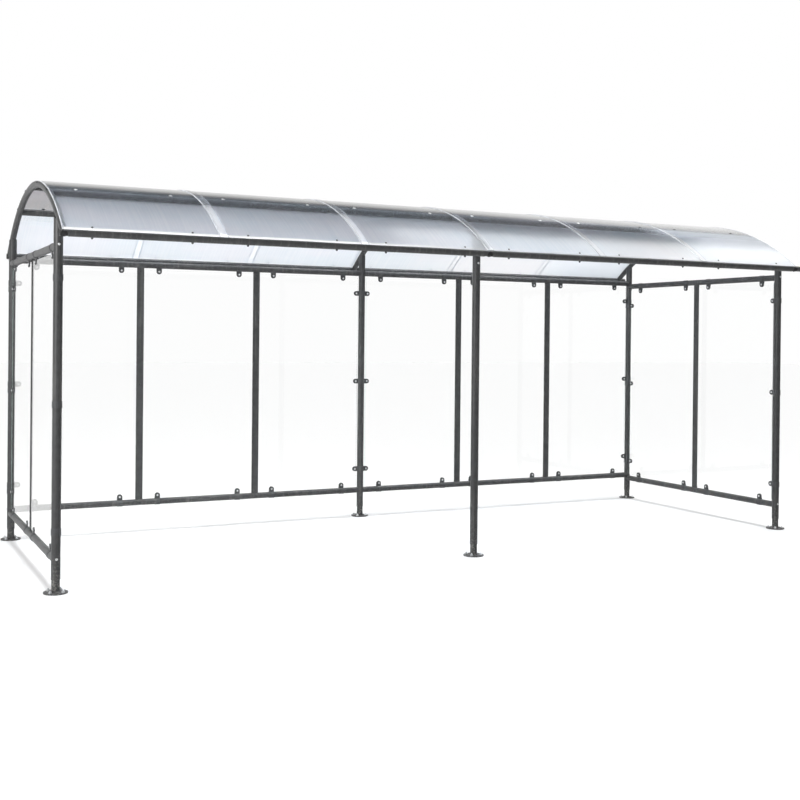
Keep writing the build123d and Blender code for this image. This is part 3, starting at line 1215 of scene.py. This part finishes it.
@dataclass
class Roof:
    """Six lapped sheets, pale beads along their edges, and the screws that hold them."""

    layout: Layout
    palette: Palette
    lathe: Lathe
    lap: float = SHEET_LAP
    lap_play: float = 0.0002
    lap_gap: float = 0.0003
    left_reach: float = 0.012
    lap_step: float = 0.006
    bead_width: float = 0.007
    bead_height: float = 0.0028
    bead_steps: int = 7
    screw_spots: Span = (0.17, 0.80)
    # Painted shade: purlin screws past this X are black instead of zinc, so that they look dark against the
    # bright sheets.
    darkened_from: float = 1.5
    arc_steps: int = 144
    smooth_angle: float = 40.0
    across_step: float = 0.0315
    swell: float = 0.0016

    def outline(self, index: int) -> tuple[Array, Array]:
        """Section of one sheet, square to the slope.

        Args:
            index: the sheet's number, 0 at the left.

        Returns:
            X of each corner, and its height over the underside.
        """
        thick = self.layout.sheet_thick
        left = self.layout.post_x["left"] + index * self.layout.bay
        right = left + self.layout.bay
        last = index == self.layout.bay_count - 1
        start = left - self.left_reach if index == 0 else left + self.lap / 2 + self.lap_play
        end = right if last else right + self.lap / 2
        if index == 0:
            x = [start, start, end, end]
            height = [0.0, thick, thick, 0.0]
        else:
            step = start + self.lap_step
            edge = left - self.lap / 2
            x = [start, start, edge, edge, step, step, end, end]
            under = thick + self.lap_gap
            height = [0.0, under, under, 2 * thick, 2 * thick, thick, thick, 0.0]
        return np.array(x), np.array(height)

    def divided(self, x: Array, height: Array) -> tuple[Array, Array]:
        """The same closed outline with points added so that none are far apart.

        Args:
            x: X of each corner.
            height: height of each corner.

        Returns:
            X and height of each point.
        """
        next_x, next_height = np.roll(x, -1), np.roll(height, -1)
        counts = np.maximum(1, np.ceil(np.abs(next_x - x) / self.across_step).astype(int))
        share = np.concatenate([np.arange(count) / count for count in counts])
        corner = np.repeat(np.arange(len(x)), counts)
        dense_x = x[corner] + (next_x - x)[corner] * share
        return dense_x, height[corner] + (next_height - height)[corner] * share

    def lift(self, x: Array, angle: Array, index: int) -> Array:
        """How far a sheet swells off the tubes between its screws.

        Args:
            x: places along the shelter.
            angle: places round the curve.
            index: the sheet's number.

        Returns:
            The lift: a sine squared between the two screws, largest at the lower edges, where it
            grows with the fourth power of the angle.
        """
        left = self.layout.post_x["left"] + index * self.layout.bay
        share = (x - left) / self.layout.bay
        low, high = self.screw_spots
        between = np.clip((share - low) / (high - low), 0.0, 1.0)
        return self.swell * np.sin(pi * between) ** 2 * (angle / self.layout.sheet_angle) ** 4

    def carried(self, x: Array, height: Array, sheet: int | None = None) -> tuple[Surface, Array]:
        """A closed section carried round the roof curve.

        Args:
            x: X of each point of the section.
            height: height of each point over the sheets' underside.
            sheet: a sheet's number, if the section swells off the tubes as that sheet does.

        Returns:
            The surface, in which a point is R sin a across and R cos a up, and its map: X and the
            way round the curve.
        """
        angle = np.linspace(-self.layout.sheet_angle, self.layout.sheet_angle, self.arc_steps + 1)
        x_grid, angle_grid = np.meshgrid(x, angle)
        swollen = 0 * angle_grid if sheet is None else self.lift(x_grid, angle_grid, sheet)
        radius = self.layout.sheet_radius + height[None, :] + swollen
        up = radius * np.cos(angle_grid) + self.layout.curve_z
        surface = flat_ended(np.stack([x_grid, radius * np.sin(angle_grid), up], axis=-1))
        chart = np.stack([x_grid, angle_grid * self.layout.sheet_radius], axis=-1)
        return surface, chart.reshape(-1, 2)

    def build_sheet(self, index: int) -> None:
        """One sheet, which takes the place of its solid.

        Args:
            index: the sheet's number, 0 at the left.
        """
        surface, chart = self.carried(*self.divided(*self.outline(index)), index)
        name = f"roof_sheet_{index + 1}"
        finish = self.palette.sheet
        piece = make_piece(f"{name}_fluted", surface, finish, self.smooth_angle, chart)
        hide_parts(name)

    def bead(self, start: float, above: float) -> Surface:
        """A rounded bead along the whole curve.

        Args:
            start: X of its left edge.
            above: height of what it lies on, over the sheets' underside.

        Returns:
            Its surface: half an ellipse, bead_width wide and bead_height high, carried round the curve.
        """
        turn = np.linspace(0, pi, self.bead_steps)
        x = start + self.bead_width / 2 * (1 - np.cos(turn))
        return self.carried(x, above + self.bead_height * np.sin(turn))[0]

    def build_beads(self) -> None:
        """Beads along both edges of each lap and along the two free ends."""
        thick = self.layout.sheet_thick
        left_end = self.layout.post_x["left"]
        right_end = self.layout.post_x["right"]
        beads = []
        for index in range(1, self.layout.bay_count):
            seam = left_end + index * self.layout.bay
            beads.append(self.bead(seam - self.lap / 2 - self.bead_width, thick))
            beads.append(self.bead(seam + self.lap / 2 + self.lap_play + self.lap_step, thick))
        beads.append(self.bead(left_end - self.left_reach, thick))
        beads.append(self.bead(right_end - self.bead_width, thick))
        make_piece("sheet_edge_beads", beads[0].joined(beads[1:]), self.palette.bead)

    def screw_places(self, x: Array, reach: float) -> tuple[Array, Array]:
        """Where the screws over one pair of tubes sit.

        Args:
            x: places along the shelter.
            reach: how far the tubes are from the ridge line.

        Returns:
            The places and the outward directions, those at the front first.
        """
        thick = self.layout.sheet_thick
        rows = [self.layout.on_curve(x, np.full_like(x, side * reach), thick) for side in (-1, 1)]
        places, directions = zip(*rows)
        return np.concatenate(places), np.concatenate(directions)

    def build_screws(self) -> None:
        """Two screws to a sheet over each purlin and eave, and the cap nuts under the eaves. Purlin screws
        towards the right end are black instead of zinc, as painted shade.
        """
        starts = self.layout.post_x["left"] + self.layout.bay * np.arange(self.layout.bay_count)
        x = np.concatenate([starts + spot * self.layout.bay for spot in self.screw_spots])
        places, directions = self.screw_places(x, self.layout.purlin_y)
        # Painted shade: the screws towards the right end get black rubber instead of zinc.
        darkened = places[:, 0] > self.darkened_from
        for label, chosen, finish in (
            ("bare", ~darkened, self.palette.zinc),
            ("darkened", darkened, self.palette.rubber),
        ):
            heads = self.lathe.set_at(Fastener.ROOF_SCREW, places[chosen], directions[chosen])
            make_piece(f"roof_screws_purlin_{label}", heads, finish)
        heads = self.lathe.set_at(Fastener.EAVE_SCREW, *self.screw_places(x, self.layout.eave_y))
        make_piece("roof_screws_eave", heads, self.palette.dark)
        under = self.layout.eave_z - self.layout.tube_radius
        places = np.array([(spot, side * self.layout.eave_y, under) for side in (-1, 1) for spot in x])
        nuts = self.lathe.set_at(Fastener.CAP_NUT, places, np.tile([0.0, 0.0, -1.0], (len(places), 1)))
        make_piece("eave_cap_nuts", nuts, self.palette.dark)

    def build(self) -> None:
        """Build the sheets, the beads and the screws."""
        for index in range(self.layout.bay_count):
            self.build_sheet(index)
        self.build_beads()
        self.build_screws()


@dataclass
class Frame:
    """Posts, ribs, tubes and rails: the finish of the solids, and the fixings on them."""

    layout: Layout
    palette: Palette
    lathe: Lathe
    bolt_rise: float = 0.008
    rib_tube: float = 0.045
    rib_bolt_reach: tuple[float, ...] = (-0.650, -0.265, 0.265, 0.650)
    rib_bolt_aside: float = 0.36
    rib_bolt_below: float = 0.14
    rib_bolt_lean: Span = (0.72, 0.69)
    plug_depth: float = 0.0022
    rib_plug_radius: float = 0.0232
    rib_plug_end: float = 0.0138
    rib_plug_rings: tuple[float, ...] = (1.0, 1.0, 0.97, 0.88, 0.76, 0.62, 0.46, 0.30, 0.15)

    def dress(self) -> None:
        """Give every steel node its powder coat."""
        starts = ("post_", "rib_", "eave_", "ridge", "purlin_", "rail_", "strips_")
        for name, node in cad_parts.items():
            if name.startswith(starts):
                dress_node(node, self.palette.frame)
            if name.startswith("clips_"):
                dress_node(node, self.palette.clip)
            if name.startswith("foot_"):
                dress_node(node, self.palette.foot)

    def rib_plug(self) -> Surface:
        """The black plug of a rib's lower end, which hugs the spigot that crosses it.

        Returns:
            A round plug along Z, as wide as the rib. At (r cos a, r sin a) its top is as high as a
            cylinder round the X axis, or as the rib's end where that is higher. Its base is at the axis.
        """
        reach = self.rib_tube / 2 * np.array(self.rib_plug_rings)[:, None]
        across, up = reach * np.cos(self.lathe.turn), reach * np.sin(self.lathe.turn)
        over_spigot = np.sqrt(np.maximum(self.rib_plug_radius**2 - up**2, 0.0))
        height = np.maximum(self.rib_plug_end, over_spigot)
        height[0] = 0.0
        ends = np.array([(0.0, 0.0, 0.0), (0.0, 0.0, self.rib_plug_radius)])
        return point_ended(np.stack([across, up, height], axis=-1), ends)

    def build_rib_caps(self) -> None:
        """Black plugs in the lower ends of the ribs, along the slope of each rib."""
        slope = asin(self.layout.eave_y / (self.layout.sheet_radius - self.rib_tube / 2))
        places, directions = [], []
        for x in self.layout.post_x.values():
            for side in (-1, 1):
                places.append((x, side * self.layout.eave_y, self.layout.eave_z))
                directions.append((0.0, side * cos(slope), -sin(slope)))
        caps = self.lathe.repeated(self.rib_plug(), np.array(places), np.array(directions))
        make_piece("rib_end_caps", caps, self.palette.rubber)

    def build_spigot_plugs(self) -> None:
        """Black plugs in the open ends of the outer spigots, just inside the tube."""
        places, directions = [], []
        for column, side in (("left", -1.0), ("right", 1.0)):
            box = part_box(f"rib_{column}")
            end = box[0].x if side < 0 else box[1].x
            for row in (-1, 1):
                places.append((end - side * self.plug_depth, row * self.layout.eave_y, self.layout.eave_z))
                directions.append((side, 0.0, 0.0))
        plugs = self.lathe.set_at(Fastener.SPIGOT_PLUG, np.array(places), np.array(directions))
        make_piece("spigot_plugs", plugs, self.palette.rubber)

    def build_rib_bolts(self) -> None:
        """Small bolts that hold the ridge and purlins, on the outer side of the two end ribs."""
        reach = np.array(self.rib_bolt_reach)
        sideways, outwards = self.rib_bolt_lean
        places, directions = [], []
        for column, side in (("left", -1), ("right", 1)):
            x = self.layout.post_x[column] + side * self.rib_tube * self.rib_bolt_aside
            below = self.rib_tube * self.rib_bolt_below
            place, direction = self.layout.on_curve(np.full_like(reach, x), reach, -below)
            places.append(place)
            directions.append(direction * outwards + np.array([side * sideways, 0.0, 0.0]))
        bolts = self.lathe.set_at(Fastener.DOME_BOLT, np.concatenate(places), np.concatenate(directions))
        make_piece("rib_bolts", bolts, self.palette.dark)

    def build_post_bolts(self) -> None:
        """Bolts that hold the rails, on the outer faces of the posts, and plugs in the spare holes."""
        low, high = self.layout.rails[Wall.LEFT]
        rear_low, rear_high = self.layout.rails[Wall.REAR]
        radius = self.layout.post_radius
        bolts, facing, plugs = [], [], []
        for row, side in (("front", -1), ("rear", 1)):
            y = self.layout.row_y[row] + side * radius
            for column, x in self.layout.post_x.items():
                for z in (low, high):
                    spare = column == "middle" and z == low
                    (plugs if spare else bolts).append((x, y, z + self.bolt_rise))
                    if not spare:
                        facing.append((0.0, side, 0.0))
        for column, side in (("left", -1), ("right", 1)):
            for z in (rear_low, rear_high):
                bolts.append((self.layout.post_x[column] + side * radius, self.layout.row_y["rear"], z))
                facing.append((side, 0.0, 0.0))
        heads = self.lathe.set_at(Fastener.DOME_BOLT, np.array(bolts), np.array(facing, dtype=float))
        make_piece("post_bolts", heads, self.palette.zinc)
        way = np.array([(0.0, np.sign(place[1]), 0.0) for place in plugs])
        covers = self.lathe.set_at(Fastener.HOLE_PLUG, np.array(plugs), way)
        make_piece("post_plugs", covers, self.palette.dark)

    def build(self) -> None:
        """Dress the solids and add the fixings."""
        self.dress()
        self.build_rib_caps()
        self.build_spigot_plugs()
        self.build_rib_bolts()
        self.build_post_bolts()


@dataclass
class Glazing:
    """The glass of the three walls, its clip bolts, and the screws and sealing bands of its joints."""

    layout: Layout
    palette: Palette
    lathe: Lathe
    clip_grip: float = 0.0027
    ear_reach: float = 0.044
    ear_radius: float = 0.021
    ear_face: float = 0.0082
    glass_face: float = 0.004
    strip_face: float = 0.010
    strip_screws: int = 5
    seal_half: float = 0.027
    seal_thick: float = 0.0014
    seal_bevel: float = 0.0006
    seal_sink: float = 0.0002
    same_place: float = 0.01
    strip_low_inset: float = 0.046
    strip_high_inset: float = 0.052
    clip_row_low: float = 0.175
    clip_row_high: float = 0.197
    clip_stack: float = 0.046
    clip_from_post: float = 0.186
    clip_from_bar: float = 0.155

    def stations(self, wall: Wall) -> tuple[list[float], list[float]]:
        """Posts and joint strips along one wall.

        Args:
            wall: which wall.

        Returns:
            Places of the posts and of the strips along the wall.
        """
        if wall is not Wall.REAR:
            return sorted(self.layout.row_y.values()), [0.0]
        posts = sorted(self.layout.post_x.values())
        edges = posts[0] + self.layout.bay * np.arange(1, self.layout.bay_count)
        free = [edge for edge in edges if min(abs(edge - post) for post in posts) > self.same_place]
        return posts, [float(edge) for edge in free]

    def ear_bolts(self, wall: Wall) -> list[Span]:
        """Where the clip bolts of one wall are.

        Args:
            wall: which wall.

        Returns:
            Place along the wall and height of each bolt.
        """
        posts, bars = self.stations(wall)
        low, high = self.layout.rails[wall]
        side_low, side_high = self.layout.rails[Wall.LEFT]
        lift = self.clip_stack if wall is Wall.REAR else 0.0
        first, last = side_low + self.clip_row_low, side_high - self.clip_row_high
        reach = self.clip_grip + self.ear_reach - self.ear_radius
        spots = []
        for height in (first, (first + last) / 2, last):
            for post in posts:
                if post != posts[-1]:
                    spots.append((post + self.layout.post_radius + reach, height + lift))
                if post != posts[0]:
                    spots.append((post - self.layout.post_radius - reach, height + lift))
        edges = sorted(posts + bars)
        for start, end in zip(edges[:-1], edges[1:]):
            near = self.clip_from_post if start in posts else self.clip_from_bar
            far = self.clip_from_post if end in posts else self.clip_from_bar
            for along in (start + near, end - far):
                spots.append((along, low + self.layout.tube_radius + reach))
                spots.append((along, high - self.layout.tube_radius - reach))
        return spots

    def placed(self, wall: Wall, along: Array, height: Array, off: float | Array) -> Array:
        """Turn places on a wall into places in the shelter.

        Args:
            wall: which wall.
            along: each place along the wall.
            height: its height.
            off: its distance from the wall's middle plane, positive outwards.

        Returns:
            The places, one row each.
        """
        if wall is Wall.REAR:
            y = np.full_like(along, self.layout.row_y["rear"] + off)
            return np.stack([along, y, height], axis=-1)
        x = np.full_like(along, self.layout.post_x[wall.value] + wall.outward[0] * off)
        return np.stack([x, along, height], axis=-1)

    def on_wall(self, wall: Wall, spots: Sequence[Span], off: float) -> tuple[Array, Array]:
        """Places for fixings on one face of a wall, and the way that they stand.

        Args:
            wall: which wall.
            spots: place along the wall and height of each.
            off: distance from the wall's middle plane, positive outwards.

        Returns:
            The places and the directions away from the glass.
        """
        along, height = np.array(spots).T
        away = np.array(wall.outward) * np.sign(off)
        return self.placed(wall, along, height, off), np.tile(away, (len(along), 1))

    def seal(self, wall: Wall, along: float, low: float, high: float) -> Surface:
        """The black sealing band under the washers of one joint, on the outer face.

        Args:
            wall: which wall.
            along: the joint's place along the wall.
            low: height of its lower end.
            high: height of its upper end.

        Returns:
            A flat band with bevelled edges: its section (offset along the wall, height off the glass)
            is carried straight up from low to high.
        """
        half, thick, bevel = self.seal_half, self.seal_thick, self.seal_bevel
        offset = np.array([-half, -half, bevel - half, half - bevel, half, half])
        rise = np.array([-self.seal_sink, thick - bevel, thick, thick, thick - bevel, -self.seal_sink])
        level = np.repeat([low, high], len(offset))
        points = self.placed(wall, np.tile(along + offset, 2), level, np.tile(self.glass_face + rise, 2))
        band = flat_ended(points.reshape(2, -1, 3))
        return band if wall is Wall.RIGHT else band.flipped()

    def build_wall(self, wall: Wall) -> None:
        """Dress one wall's glass and add its fixings.

        Args:
            wall: which wall.
        """
        for name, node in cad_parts.items():
            if name.startswith(f"glass_{wall.value}"):
                dress_node(node, self.palette.glass[wall])
        ears = self.ear_bolts(wall)
        sides = [self.on_wall(wall, ears, off) for off in (-self.ear_face, self.ear_face)]
        heads = self.lathe.set_at(Fastener.DOME_BOLT, *(np.concatenate(part) for part in zip(*sides)))
        make_piece(f"clip_bolts_{wall.value}", heads, self.palette.zinc)
        bars = self.stations(wall)[1]
        low, high = self.layout.rails[wall]
        heights = np.linspace(low + self.strip_low_inset, high - self.strip_high_inset, self.strip_screws)
        spots = [(bar, float(height)) for bar in bars for height in heights]
        inside = self.lathe.set_at(Fastener.STRIP_SCREW, *self.on_wall(wall, spots, -self.strip_face))
        outside = self.lathe.set_at(Fastener.WASHER, *self.on_wall(wall, spots, self.glass_face))
        make_piece(f"strip_screws_{wall.value}", inside, self.palette.dark)
        make_piece(f"strip_washers_{wall.value}", outside, self.palette.dark)
        strip_low, strip_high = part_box(f"strips_{wall.value}")
        seals = [self.seal(wall, bar, strip_low.z, strip_high.z) for bar in bars]
        make_piece(f"strip_seals_{wall.value}", seals[0].joined(seals[1:]), self.palette.rubber)

    def build(self) -> None:
        """Dress and finish the three walls."""
        for wall in Wall:
            self.build_wall(wall)


@dataclass
class Feet:
    """Anchor nuts, washers and the weld round the stem of each foot."""

    layout: Layout
    palette: Palette
    lathe: Lathe
    flange_thick: float = 0.008
    pitch_radius: float = 0.055
    stem_radius: float = 0.0262
    weld_leg: float = 0.006
    weld_inset: float = 0.001
    weld_sides: int = 72
    weld_steps: int = 5
    ripple_size: float = 0.06
    ripple_count: int = 36
    smooth_angle: float = 60.0
    hole_count: int = 4

    def weld(self, x: float, y: float) -> Surface:
        """The weld between a stem and its flange.

        Args:
            x: the post's X.
            y: the post's Y.

        Returns:
            A ring: a quarter-round fillet turned about the post, rippled by 6% as weld beads are.
        """
        turn = np.linspace(0, 2 * pi, self.weld_sides, endpoint=False)
        bend = np.linspace(0, pi / 2, self.weld_steps)[:, None]
        leg = self.weld_leg * (1 + self.ripple_size * np.cos(self.ripple_count * turn))
        inner = np.full((1, len(turn)), -self.weld_inset)
        radius = self.stem_radius + np.concatenate([leg * np.cos(bend), inner])
        height = self.flange_thick + np.concatenate([leg * np.sin(bend), np.zeros_like(inner)])
        points = np.stack([x + radius * np.cos(turn), y + radius * np.sin(turn), height], axis=-1)
        rows, columns = points.shape[:2]
        ring = np.arange(columns)
        after = (ring + 1) % columns
        last = (rows - 1) * columns
        faces = band_faces(rows, columns)
        faces += np.stack([last + ring, last + after, after, ring], axis=-1).tolist()
        return Surface(points.reshape(-1, 3), faces)

    def build(self) -> None:
        """Build the nuts and welds of all six feet."""
        turn = pi / 4 + np.arange(self.hole_count) * 2 * pi / self.hole_count
        posts = [(x, y) for x in self.layout.post_x.values() for y in self.layout.row_y.values()]
        places = np.array([
            (x + self.pitch_radius * cos(angle), y + self.pitch_radius * sin(angle), self.flange_thick)
            for x, y in posts
            for angle in turn
        ])
        nuts = self.lathe.set_at(Fastener.ANCHOR_NUT, places, np.tile([0.0, 0.0, 1.0], (len(places), 1)))
        make_piece("anchor_nuts", nuts, self.palette.zinc)
        welds = [self.weld(x, y) for x, y in posts]
        beads = welds[0].joined(welds[1:])
        make_piece("foot_welds", beads, self.palette.foot, self.smooth_angle)


@dataclass(frozen=True)
class Softbox:
    """A large soft lamp, which faces a point.

    One that faces down has its first side along X and the second along Y. One for reflections only
    shows in glossy faces and lights nothing else.
    """

    name: str
    place: Point
    aim: Point
    size: Span
    power: float
    reflections_only: bool = False

    def build(self) -> None:
        """Hang the lamp."""
        data = bpy.data.lights.new(self.name, "AREA")
        data.shape = "RECTANGLE"
        data.size, data.size_y = self.size
        data.energy = self.power
        lamp = bpy.data.objects.new(self.name, data)
        lamp.location = self.place
        lamp.rotation_euler = (Vector(self.aim) - Vector(self.place)).to_track_quat("-Z", "Y").to_euler()
        lamp.visible_diffuse = not self.reflections_only
        lamp.visible_transmission = not self.reflections_only
        bpy.context.scene.collection.objects.link(lamp)


@dataclass(frozen=True)
class Studio:
    """Camera, lamps, world and floor."""

    eye: Point = (-4.213, -8.180, 1.596)
    yaw: float = -0.4642
    pitch: float = -0.0051
    roll: float = 0.0098
    picture_px: float = 800.0
    focal_px: float = 1121.0
    axis_row_px: float = 344.9
    sensor_mm: float = 36.0
    world_light: float = 0.22
    ceiling_light: float = 0.10
    wall_base: float = 0.20
    wall_top: float = 0.60
    wall_behind: Span = (-0.5, 0.2)
    wall_left_of: Span = (0.82, 0.68)
    view_end: float = 200.0
    sun_toward: Point = (0.04, 0.02, 1.0)
    sun_strength: float = 2.5
    sun_spread: float = 12.0
    key_lamp: Softbox = Softbox("key_lamp", (-9.5, -5.0, 3.0), (-3.0, -1.0, 1.2), (2.5, 2.5), 620.0)
    rim_lamp: Softbox = Softbox("rim_lamp", (5.6, -0.1, 7.0), (5.6, -0.1, 0.0), (7.6, 4.4), 900.0, True)
    floor_size: float = 120.0
    floor_drop: float = 0.0005
    floor_roughness: float = 0.9
    floor_colour: Colour = (0.70, 0.70, 0.70, 1)
    floor_seen_colour: Colour = (0.86, 0.86, 0.86, 1)
    floor_glow: float = 1.5
    floor_glow_share: float = 0.16

    def build_camera(self) -> None:
        """A camera that sees the shelter as the photograph does."""
        ahead = Vector((-sin(self.yaw), cos(self.yaw), 0))
        up = Vector((0, 0, 1))
        look = ahead * cos(self.pitch) + up * sin(self.pitch)
        lift = up * cos(self.pitch) - ahead * sin(self.pitch)
        side = Vector((cos(self.yaw), sin(self.yaw), 0))
        right = side * cos(self.roll) + lift * sin(self.roll)
        top = lift * cos(self.roll) - side * sin(self.roll)
        data = bpy.data.cameras.new("camera")
        data.sensor_width = self.sensor_mm
        data.lens = self.focal_px / self.picture_px * self.sensor_mm
        data.shift_y = (self.axis_row_px - self.picture_px / 2) / self.picture_px
        data.clip_end = self.view_end
        camera = bpy.data.objects.new("camera", data)
        turned = Matrix((right, top, -look)).transposed().to_4x4()
        camera.matrix_world = Matrix.Translation(self.eye) @ turned
        bpy.context.scene.collection.objects.link(camera)
        bpy.context.scene.camera = camera

    def build_world(self) -> None:
        """An even surround for light, and for reflections a white wall round a grey ceiling.

        The wall is white up to wall_base and falls to the grey of the ceiling at wall_top. Both are
        the height of a sight line one metre long. On the viewer's side, and past the right end, the
        wall falls to that grey too.
        """
        world = bpy.data.worlds.new("studio")
        world.use_nodes = True
        wires = Wiring(world.node_tree)
        world.node_tree.nodes.clear()
        path = wires.node("ShaderNodeLightPath").outputs
        sight = wires.node("ShaderNodeTexCoord").outputs["Generated"]
        axes = wires.node("ShaderNodeSeparateXYZ", {0: sight}).outputs
        below_top = wires.ramp(axes["Z"], self.wall_base, self.wall_top, 1.0, 0.0)
        behind = wires.ramp(axes["Y"], *self.wall_behind)
        left_of = wires.ramp(axes["X"], *self.wall_left_of)
        wall = wires.math("MULTIPLY", wires.math("MULTIPLY", below_top, behind), left_of)
        mirrored = wires.ramp(wall, 0.0, 1.0, self.ceiling_light, 1.0)
        straight = wires.math("MAXIMUM", path["Is Camera Ray"], path["Is Transmission Ray"])
        level = wires.node("ShaderNodeMix", data_type="FLOAT")
        wires.feed(level.inputs[0], path["Is Glossy Ray"])
        level.inputs[2].default_value = self.world_light
        wires.feed(level.inputs[3], mirrored)
        strength = wires.math("MAXIMUM", level.outputs[0], straight)
        back = wires.node("ShaderNodeBackground", {"Color": (1, 1, 1, 1), "Strength": strength})
        wires.node("ShaderNodeOutputWorld", {"Surface": back.outputs[0]})
        bpy.context.scene.world = world

    def build_sun(self) -> None:
        """A broad even lamp, far away, so that the floor is equally bright all over.

        Its strength is in watts per square metre, and it looks sun_spread degrees wide.
        """
        data = bpy.data.lights.new("top_lamp", "SUN")
        data.energy = self.sun_strength
        data.angle = radians(self.sun_spread)
        lamp = bpy.data.objects.new("top_lamp", data)
        lamp.rotation_euler = Vector(self.sun_toward).to_track_quat("Z", "Y").to_euler()
        bpy.context.scene.collection.objects.link(lamp)

    def build_floor(self) -> None:
        """A plain white floor that keeps the shelter's soft shadow."""
        half = self.floor_size / 2
        mesh = bpy.data.meshes.new("studio_floor")
        corners = [(-half, -half), (half, -half), (half, half), (-half, half)]
        mesh.from_pydata([(x, y, -self.floor_drop) for x, y in corners], [], [(0, 1, 2, 3)])
        material, wires, shader, output = start_material("studio_floor")
        shader.inputs["Roughness"].default_value = self.floor_roughness
        shader.inputs["Specular IOR Level"].default_value = 0.0
        glow = wires.node("ShaderNodeEmission", {"Color": (1, 1, 1, 1), "Strength": self.floor_glow})
        path = wires.node("ShaderNodeLightPath").outputs
        mirrored = wires.math("MAXIMUM", path["Is Glossy Ray"], path["Is Transmission Ray"])
        seen = wires.math("MAXIMUM", path["Is Camera Ray"], mirrored)
        colour = wires.blend(seen, self.floor_colour, self.floor_seen_colour)
        wires.feed(shader.inputs["Base Color"], colour)
        share = wires.math("MULTIPLY", seen, self.floor_glow_share)
        mixed = wires.node("ShaderNodeMixShader", {0: share, 1: shader.outputs[0], 2: glow.outputs[0]})
        wires.feed(output.inputs["Surface"], mixed.outputs[0])
        mesh.materials.append(material)
        floor = bpy.data.objects.new("studio_floor", mesh)
        bpy.context.scene.collection.objects.link(floor)

    def build(self) -> None:
        """Build the whole studio."""
        bpy.context.scene.view_settings.view_transform = "Standard"
        self.build_camera()
        self.build_world()
        self.build_floor()
        self.key_lamp.build()
        self.build_sun()
        self.rim_lamp.build()


def main() -> None:
    """Build the shelter's pieces in order, then the studio round it."""
    logging.basicConfig(level=logging.INFO, format="%(name)s %(message)s")
    layout = Layout()
    palette = Palette(layout.bay)
    lathe = Lathe()
    for kind in (Frame, Glazing, Feet, Roof):
        kind(layout, palette, lathe).build()
        log.info("%s done", kind.__name__)
    Studio().build()


if __name__ == "__main__":
    main()
